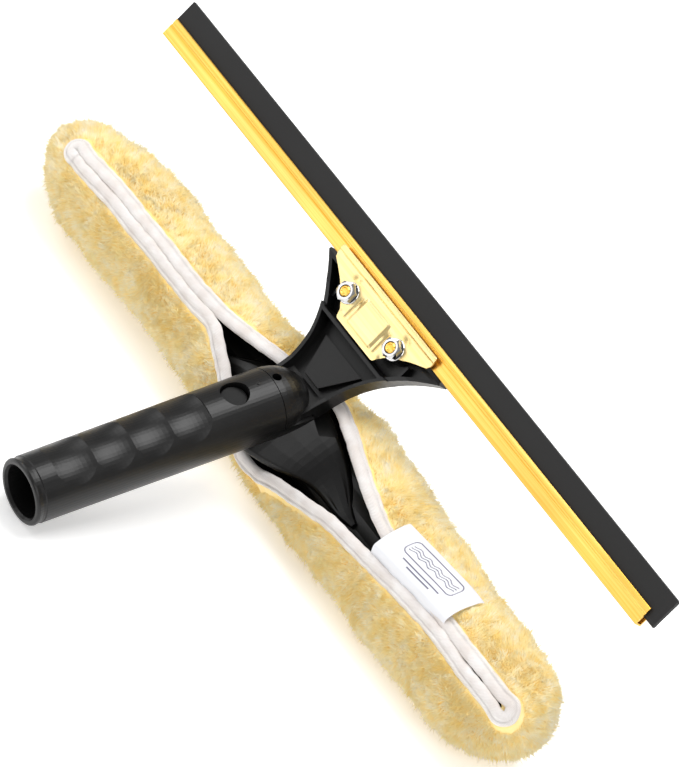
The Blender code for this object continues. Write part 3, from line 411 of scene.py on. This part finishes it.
def make_skin():
    """The sleeve's lumpy cloth with a thickness whose inner face is painted near-black as shade. Returns its grid
    and normals for the pile.
    """
    points = skin_points(230, 120, PILE)
    normals = grid_normals(points)
    rise = 1.4 * lumps(points, 0.06, 0.0)[..., :1] + 0.9 * lumps(points, 0.16, 5.0)[..., :1]
    points = points + normals * rise
    piece = new_piece("fleece_skin", from_bar(points), grid_faces(*points.shape[:2]), FLEECE, "fleece_sleeve")
    shares = piece.data.color_attributes.new("pile", "FLOAT_COLOR", "POINT")
    values = np.zeros((points.shape[0] * points.shape[1], 4), np.float32)
    values[:, 0] = 0.5
    values[:, 1] = 0.4
    values[:, 3] = 1.0
    shares.data.foreach_set("color", values.ravel())
    bm = bmesh.new()
    bm.from_mesh(piece.data)
    bmesh.ops.remove_doubles(bm, verts=bm.verts, dist=0.00004)
    bmesh.ops.recalc_face_normals(bm, faces=bm.faces)
    bm.to_mesh(piece.data)
    bm.free()
    cloth = piece.modifiers.new("backing", "SOLIDIFY")
    cloth.thickness = 2.0 * MM
    cloth.offset = -1.0
    # the inner face takes the second slot, painted near-black as shade
    cloth.material_offset = 1
    piece.data.materials.append(PAINTED_SHADE_LINING)
    return piece, points, normals


TUFTS = 208000
TUFT_PIECES = 4
STRAY_SHARE = 0.07                  # locks that stand well out of the others
TAPE_HALF = 3.3                     # no locks this near the tape's middle line
LABEL_LEFT, LABEL_RIGHT = 77.5, 123.5
LABEL_WIDTH = 20.6
LABEL_START = 2.0                   # from the rear edge's line to the label's sewn edge


def make_pile(points, normals):
    """Short tapering locks over the whole skin, each bent over by the nap and away from the tape."""
    rows, columns = points.shape[:2]
    a = points[1:, :-1] - points[:-1, :-1]
    b = points[:-1, 1:] - points[:-1, :-1]
    area = np.linalg.norm(np.cross(a, b), axis=-1).ravel()
    cells = random.choice(len(area), TUFTS, p=area / area.sum())
    i, j = np.divmod(cells, columns - 1)
    fu, fv = random.random((2, TUFTS, 1))

    def sample(field):
        low = field[i, j] * (1 - fv) + field[i, j + 1] * fv
        high = field[i + 1, j] * (1 - fv) + field[i + 1, j + 1] * fv
        return low * (1 - fu) + high * fu

    root, up = sample(points), sample(normals)
    up /= np.linalg.norm(up, axis=1, keepdims=True)
    top = root[:, 2] > BAR_S
    line = tape_line()[0]
    tree = kdtree.KDTree(len(line))
    for n, (x, t) in enumerate(line):
        tree.insert((x, t, 0), n)
    tree.balance()
    found = [tree.find((x, t, 0)) for x, t, _ in root]
    near = np.array([d for _, _, d in found])
    away = root[:, :2] - line[[n for _, n, _ in found]]
    away /= np.maximum(near[:, None], 0.1)
    under = root[:, 1] - edges_at(root[:, 0])[0] - LABEL_START
    inside = np.minimum(np.minimum(root[:, 0] - LABEL_LEFT, LABEL_RIGHT - root[:, 0]),
                        np.minimum(under, LABEL_WIDTH - under))
    keep = ~(top & ((near < TAPE_HALF) | (inside > 0.8)))
    short = np.where(top, np.clip((near - TAPE_HALF) / 4.0, 0, 1), 1.0)
    short = np.minimum(short, np.where(top, np.clip(-inside / 3.0, 0, 1), 1.0))
    root, up, short, away = root[keep], up[keep], short[keep], away[keep]
    count = len(root)
    clumps = lumps(root, 0.30, 7.0)
    drift = lumps(root, 0.05, 21.0)
    lean = 0.9 * clumps + 1.1 * drift + 0.25 * random.normal(0, 1, (count, 3))
    lean[:, :2] += away * ((1 - short) * np.where(root[:, 2] > BAR_S, 0.8, 0.0))[:, None]
    lean -= (lean * up).sum(1, keepdims=True) * up
    length = PILE * (1.05 + 0.35 * random.random(count)) + 0.9 * clumps[:, 0] + 0.7 * drift[:, 0]
    length = np.where(random.random(count) < STRAY_SHARE, 1.45, 1.0) * length
    length = (length * (0.5 + 0.5 * short))[:, None]
    tip = root + up * length * 0.88 + lean * length * 0.75
    aside = np.cross(tip - root, random.normal(0, 1, (count, 3)))
    aside /= np.maximum(np.linalg.norm(aside, axis=1, keepdims=True), 1e-9)
    other = np.cross(tip - root, aside)
    other /= np.maximum(np.linalg.norm(other, axis=1, keepdims=True), 1e-9)
    verts = []
    for k in range(3):
        angle = 2 * math.pi * k / 3
        verts.append(root - 0.4 * up + 0.46 * (aside * math.cos(angle) + other * math.sin(angle)))
    verts = np.stack(verts + [tip], axis=1)
    world = from_bar(verts)
    floor_gap = 0.4 * MM
    world[..., 2] = np.maximum(world[..., 2], floor_gap)
    tone = 0.5 + 1.2 * clumps[:, 1] + 0.2 * drift[:, 1] + 0.15 * random.normal(0, 1, count)
    tone = np.clip(tone, 0, 1)
    pieces = []
    for n, mine in enumerate(np.array_split(np.arange(count), TUFT_PIECES)):
        base = np.arange(len(mine))[:, None] * 4
        faces = np.concatenate([base + [0, 1, 3], base + [1, 2, 3], base + [2, 0, 3]]).tolist()
        piece = new_piece("fleece_pile_" + str(n + 1), world[mine], faces, FLEECE)
        shares = piece.data.color_attributes.new("pile", "FLOAT_COLOR", "POINT")
        values = np.ones((len(mine), 4, 4), np.float32)
        values[..., 0] = [0, 0, 0, 1]
        values[..., 1] = tone[mine][:, None]
        shares.data.foreach_set("color", values.ravel())
        pieces.append(piece)
    return pieces


# ---- binding tape ---------------------------------------------------------------------------------
def strip(name, line, up, out, section, material):
    """A closed ring of sections along a closed line. The section is (across, up) in millimetres."""
    section = np.array(section, float)
    if section.ndim == 2:
        section = np.broadcast_to(section, (len(line), *section.shape))
    rows = line[:, None, :] + section[..., 0:1] * out[:, None, :] + section[..., 1:2] * up[:, None, :]
    count = rows.shape[1]
    ring = np.concatenate([rows, rows[:, :1]], axis=1)
    faces = grid_faces(len(line), count + 1, closed_rows=True)
    piece = new_piece(name, from_bar(ring), faces, material)
    along = np.concatenate([[0], np.cumsum(np.linalg.norm(np.diff(line, axis=0), axis=1))])
    around = np.concatenate([[0], np.cumsum(np.linalg.norm(np.diff(ring[0], axis=0), axis=1))])
    layer = piece.data.uv_layers.new(name="along")
    vertex = np.zeros(len(piece.data.loops), np.int32)
    piece.data.loops.foreach_get("vertex_index", vertex)
    uv = np.stack([along[vertex // (count + 1)], around[vertex % (count + 1)]], axis=1)
    layer.data.foreach_set("uv", uv.astype(np.float32).ravel())
    bm = bmesh.new()
    bm.from_mesh(piece.data)
    bmesh.ops.remove_doubles(bm, verts=bm.verts, dist=0.00001)
    bmesh.ops.recalc_face_normals(bm, faces=bm.faces)
    bm.to_mesh(piece.data)
    bm.free()
    return piece


def tape_line():
    """The slit's loop: out along the rear edge, round its right end and back along the front."""
    front = FRONT_LINE[(FRONT_LINE[:, 0] > -154) & (FRONT_LINE[:, 0] < 163)][::-1]
    rear = REAR_LINE[(REAR_LINE[:, 0] > -154) & (REAR_LINE[:, 0] < 163)]
    right = [(163, -2.8), (168.5, -3.2), (171.2, 0.4), (168.5, 4.4), (163, 3.8)]
    left = [(-154, 5.8), (-158.6, 5.6), (-160.6, 2.6), (-158.6, -0.6), (-154, -0.6)]
    loop = np.concatenate([rear, curve_through([np.array(p, float) for p in right], 1.0)[1:-1], front,
                           curve_through([np.array(p, float) for p in left], 1.0)[1:-1]])
    closed = np.concatenate([loop, loop[:1]])
    along = np.concatenate([[0], np.cumsum(np.linalg.norm(np.diff(closed, axis=0), axis=1))])
    at = np.linspace(0, along[-1], int(along[-1] / 1.1), endpoint=False)
    return np.stack([np.interp(at, along, closed[:, k]) for k in (0, 1)], axis=1), along[-1]


TAPE_SMOOTHING = 6
# the folded tape's section as (across, up): its outer face and, back along the inside, its inner face
TAPE_OUTER = [(3.2, -0.9), (2.9, 0.2), (2.3, 0.7), (1.7, 0.8), (1.25, 0.3), (0.7, 0.95), (-0.6, 1.3),
              (-1.9, 1.1), (-2.8, 0.5), (-3.2, -0.4), (-3.0, -1.3), (-2.2, -1.9), (-0.8, -2.1), (1.0, -2.0),
              (2.8, -1.9)]
TAPE_INNER = [(2.8, -1.3), (1.0, -1.35), (-0.8, -1.4), (-1.8, -1.2), (-2.4, -0.4), (-1.8, 0.3), (-0.6, 0.55),
              (0.9, 0.45), (1.9, 0.15), (2.5, -0.5), (2.8, -1.0)]


def make_tape():
    """The tape folded over the slit's edge all the way round, a little uneven."""
    flat, length = tape_line()
    count = len(flat)
    t = np.arange(count) / count * 2 * math.pi
    wave = np.array([tuple(noise.noise_vector(Vector((30 * math.cos(a), 30 * math.sin(a), 1.7)))) for a in t])
    slow = np.array([tuple(noise.noise_vector(Vector((9 * math.cos(a), 9 * math.sin(a), 8.2)))) for a in t])
    tangent = np.roll(flat, -1, axis=0) - np.roll(flat, 1, axis=0)
    tangent /= np.linalg.norm(tangent, axis=1, keepdims=True)
    outward = np.stack([tangent[:, 1], -tangent[:, 0]], axis=1)
    flat = flat + outward * (0.35 * slow[:, :1] + 0.18 * wave[:, :1])
    x, tt = flat[:, 0], flat[:, 1]
    s = surface(x, tt) - 2.2
    near_wing = np.exp(-((np.abs(x) - 22) / 9.0) ** 2)
    s = s + 1.3 * near_wing + 0.45 * slow[:, 1] + 0.2 * wave[:, 1]
    for _ in range(TAPE_SMOOTHING):
        s = 0.25 * np.roll(s, 1) + 0.5 * s + 0.25 * np.roll(s, -1)
    line = np.stack([x, tt, s], axis=1)
    along = np.roll(line, -1, axis=0) - np.roll(line, 1, axis=0)
    along /= np.linalg.norm(along, axis=1, keepdims=True)
    out = np.stack([outward[:, 0], outward[:, 1], np.zeros(count)], axis=1)
    slope = np.clip((surface(x + outward[:, 0], tt + outward[:, 1])
                     - surface(x - outward[:, 0], tt - outward[:, 1])) / 2, -0.9, 0.5)
    out[:, 2] = slope * 0.8 - 0.05 + 0.25 * slow[:, 2]
    out -= (out * along).sum(1, keepdims=True) * along
    out /= np.linalg.norm(out, axis=1, keepdims=True)
    up = np.cross(along, out)
    up *= np.sign(up[:, 2:3])
    section = np.array(TAPE_OUTER + TAPE_INNER)
    shape = np.broadcast_to(section, (count, *section.shape)).copy()
    shape[..., 0] *= 1 + 0.10 * wave[:, 2:3]
    shape[..., 1] *= 1 + 0.16 * slow[:, :1] + 0.12 * wave[:, 1:2]
    shape[..., 1] += 0.35 * wave[:, :1] * (section[:, 0] / 3.2)
    piece = strip("binding_tape_cloth", line, up, out, shape, TWILL)
    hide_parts("binding_tape")
    return piece, length


# ---- label -------------------------------------------------------------------------------------------
def band(distance, width):
    """1 on a drawn line, fading over a tenth of a millimetre at its edges."""
    return np.clip((width / 2 - np.abs(distance)) / 0.1 + 0.5, 0, 1)


def printed(a, b):
    """A plain mark: a rounded frame with three waves in it, and two short rules under it."""
    half_a, half_b, corner = 14.5, 3.6, 2.2
    qa = np.maximum(np.abs(a) - (half_a - corner), 0)
    qb = np.maximum(np.abs(b) - (half_b - corner), 0)
    edge = np.hypot(qa, qb) - corner
    ink = band(edge, 0.45)
    inside = np.clip(-(edge + 1.2) / 0.3, 0, 1)
    for level in (-1.2, 0.0, 1.2):
        ink = np.maximum(ink, inside * band(b - level - 0.45 * np.sin(a * 1.1), 0.38))
    for level, reach in ((-6.0, 11.0), (-7.6, 7.0)):
        ink = np.maximum(ink, band(b - level, 0.5) * np.clip((reach - np.abs(a)) / 0.1, 0, 1))
    return ink


def make_label():
    """The label from its sewn edge at the back to its free edge, with its printed mark."""
    x = np.linspace(LABEL_LEFT, LABEL_RIGHT, 185)[:, None]
    v = np.linspace(0, 1, 92)[None, :]
    t = edges_at(x)[0] + LABEL_START + LABEL_WIDTH * v
    rise = surface(np.broadcast_to(x, t.shape), t)
    tucked = step(v / 0.22)
    s = rise - 2.9 + 3.5 * tucked + 0.9 * np.sin(np.clip(v / 0.8, 0, 1) * math.pi)
    s = s - 1.2 * np.clip((v - 0.86) / 0.14, 0, 1) ** 2
    wander = np.clip((np.abs(x - 100.5) - 16) / 7, 0, 1) ** 2
    s = s - 0.7 * wander * (1 - 0.6 * v) + 0.25 * np.sin(x * 0.35 + 5 * v)
    points = np.stack([np.broadcast_to(x, t.shape), t, s], axis=-1)
    piece = new_piece("label_cloth", from_bar(points), grid_faces(*t.shape), SATIN, "cloth_label")
    ink = printed(np.broadcast_to(x - 101.5, t.shape), (v - 0.70) * LABEL_WIDTH)
    layer = piece.data.attributes.new("print", "FLOAT", "POINT")
    layer.data.foreach_set("value", ink.astype(np.float32).ravel())
    cloth = piece.modifiers.new("thickness", "SOLIDIFY")
    cloth.thickness = 0.3 * MM
    return piece


# ---- clamp plate -------------------------------------------------------------------------------------
PLATE_REAR_W, PLATE_WAIST_W, PLATE_FRONT_W = -16.5, -0.9, 5.0
STUD_X, STUD_W = 16.8, -6.3
PLATE_TOP = 1.35


def make_plate():
    """The pressed sheet over the blade: a raised square between its studs, creases, and a folded hem."""
    w = np.linspace(PLATE_REAR_W, PLATE_FRONT_W, 130)[:, None]
    share = np.clip((w - PLATE_REAR_W) / (PLATE_WAIST_W - PLATE_REAR_W), 0, 1)
    half = 13.4 + 20.1 * share ** 1.7 + 0.9 * step((w - PLATE_WAIST_W) / 2.1)
    front_round = np.clip((w - PLATE_FRONT_W + 1.3) / 1.3, 0, 1)
    rear_round = np.clip((PLATE_REAR_W + 1.2 - w) / 1.2, 0, 1)
    half = half - 1.3 * (1 - np.sqrt(1 - front_round ** 2)) - 1.2 * (1 - np.sqrt(1 - rear_round ** 2))
    x = half * np.linspace(-1, 1, 301)[None, :]
    w = np.broadcast_to(w, x.shape)
    out = np.abs(x)
    n = PLATE_TOP + 0.62 * step((8.6 - out) / 1.6) * step((w + 14.4) / 1.4) * step((-1.2 - w) / 1.4)
    window = step((w + 14.8) / 2.0) * step((-2.6 - w) / 2.0)
    n = n - 0.35 * np.exp(-((out - 10.4) / 0.5) ** 2) * window
    reach = np.hypot(out - STUD_X, w - STUD_W)
    turn = np.arctan2(w - STUD_W, out - STUD_X)
    n = n - 0.5 * np.exp(-((reach - 7.0) / 1.3) ** 2) * (0.5 + 0.5 * np.cos(4 * turn + 0.9)) ** 3
    n = n - 0.55 * np.exp(-((w - 2.45) / 0.20) ** 2) * step((32.3 - out) / 0.6)
    n = n + 0.72 * step((w - 2.7) / 0.7) - 0.35 * step((w - 4.3) / 0.7)
    waves = np.array([noise.noise(Vector((a * 0.13, b * 0.2, 4.0))) for a, b in zip(x.ravel(), w.ravel())])
    n = n + 0.07 * waves.reshape(n.shape)
    points = from_head(np.stack([x, w, n], axis=-1))
    piece = new_piece("clamp_plate_pressed", points, grid_faces(*x.shape), PALE_BRASS, "clamp_plate")
    sheet = piece.modifiers.new("thickness", "SOLIDIFY")
    sheet.thickness = 0.8 * MM
    sheet.offset = -1.0
    return piece


skin, skin_grid, skin_normals = make_skin()
piles = make_pile(skin_grid, skin_normals)
tape, tape_length = make_tape()
label = make_label()
plate = make_plate()
for piece in [skin, tape, label, plate] + piles:
    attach(piece, "handle")

# ---- floor, camera and light ---------------------------------------------------------------------------
floor_mesh = bpy.data.meshes.new("floor")
reach = 6.0
floor_mesh.from_pydata([(-reach, -reach, 0), (reach, -reach, 0), (reach, reach, 0), (-reach, reach, 0)], [],
                       [(0, 1, 2, 3)])
floor = bpy.data.objects.new("floor", floor_mesh)
scene.collection.objects.link(floor)
paper = Paint("white_floor", Roughness=0.9, Specular_IOR_Level=0.1, Emission_Color=(1, 1, 1),
              Emission_Strength=0.32)
paper.put(paper.shader, "Base Color",
          paper.blend(paper.noise(3.0, 2.0), (0.93, 0.93, 0.93), (0.96, 0.96, 0.96)))
floor_mesh.materials.append(paper.material)

AZIMUTH, ELEVATION, ROLL = math.radians(38.281), math.radians(35.296), math.radians(27.309)
DISTANCE = 2.26775
AIM = Vector((0.020644, 0.037929, 0.073991))
back = Vector((math.sin(AZIMUTH) * math.cos(ELEVATION), -math.cos(AZIMUTH) * math.cos(ELEVATION),
               math.sin(ELEVATION)))
camera = bpy.data.objects.new("camera", bpy.data.cameras.new("camera"))
scene.collection.objects.link(camera)
camera.data.sensor_width = 36.0
camera.data.sensor_fit = "HORIZONTAL"
camera.data.lens = 304.53
camera.data.clip_end = 20.0
turn = (-back).to_track_quat("-Z", "Y").to_matrix().to_4x4() @ Matrix.Rotation(ROLL, 4, "Z")
camera.matrix_world = Matrix.Translation(AIM + back * DISTANCE) @ turn
scene.camera = camera


LAMP_AIM = Vector((0, 0.03, 0.05))


def lamp(name, place, size, power):
    light = bpy.data.lights.new(name, "AREA")
    light.shape = "DISK"
    light.size = size
    light.energy = power
    made = bpy.data.objects.new(name, light)
    scene.collection.objects.link(made)
    made.location = place
    made.rotation_euler = (LAMP_AIM - Vector(place)).to_track_quat("-Z", "Y").to_euler()


lamp("overhead", (-0.1, 0.55, 2.1), 1.5, 31)
lamp("brass_side", (-1.15, -1.8, 0.6), 1.5, 8.5)
lamp("right", (1.7, -0.5, 1.4), 1.6, 13)
lamp("left", (-1.5, -0.5, 1.3), 1.4, 11)
world = bpy.data.worlds.new("studio")
scene.world = world
world.use_nodes = True
world.node_tree.nodes["Background"].inputs["Color"].default_value = (1, 1, 1, 1)
world.node_tree.nodes["Background"].inputs["Strength"].default_value = 0.38
scene.view_settings.view_transform = "Standard"
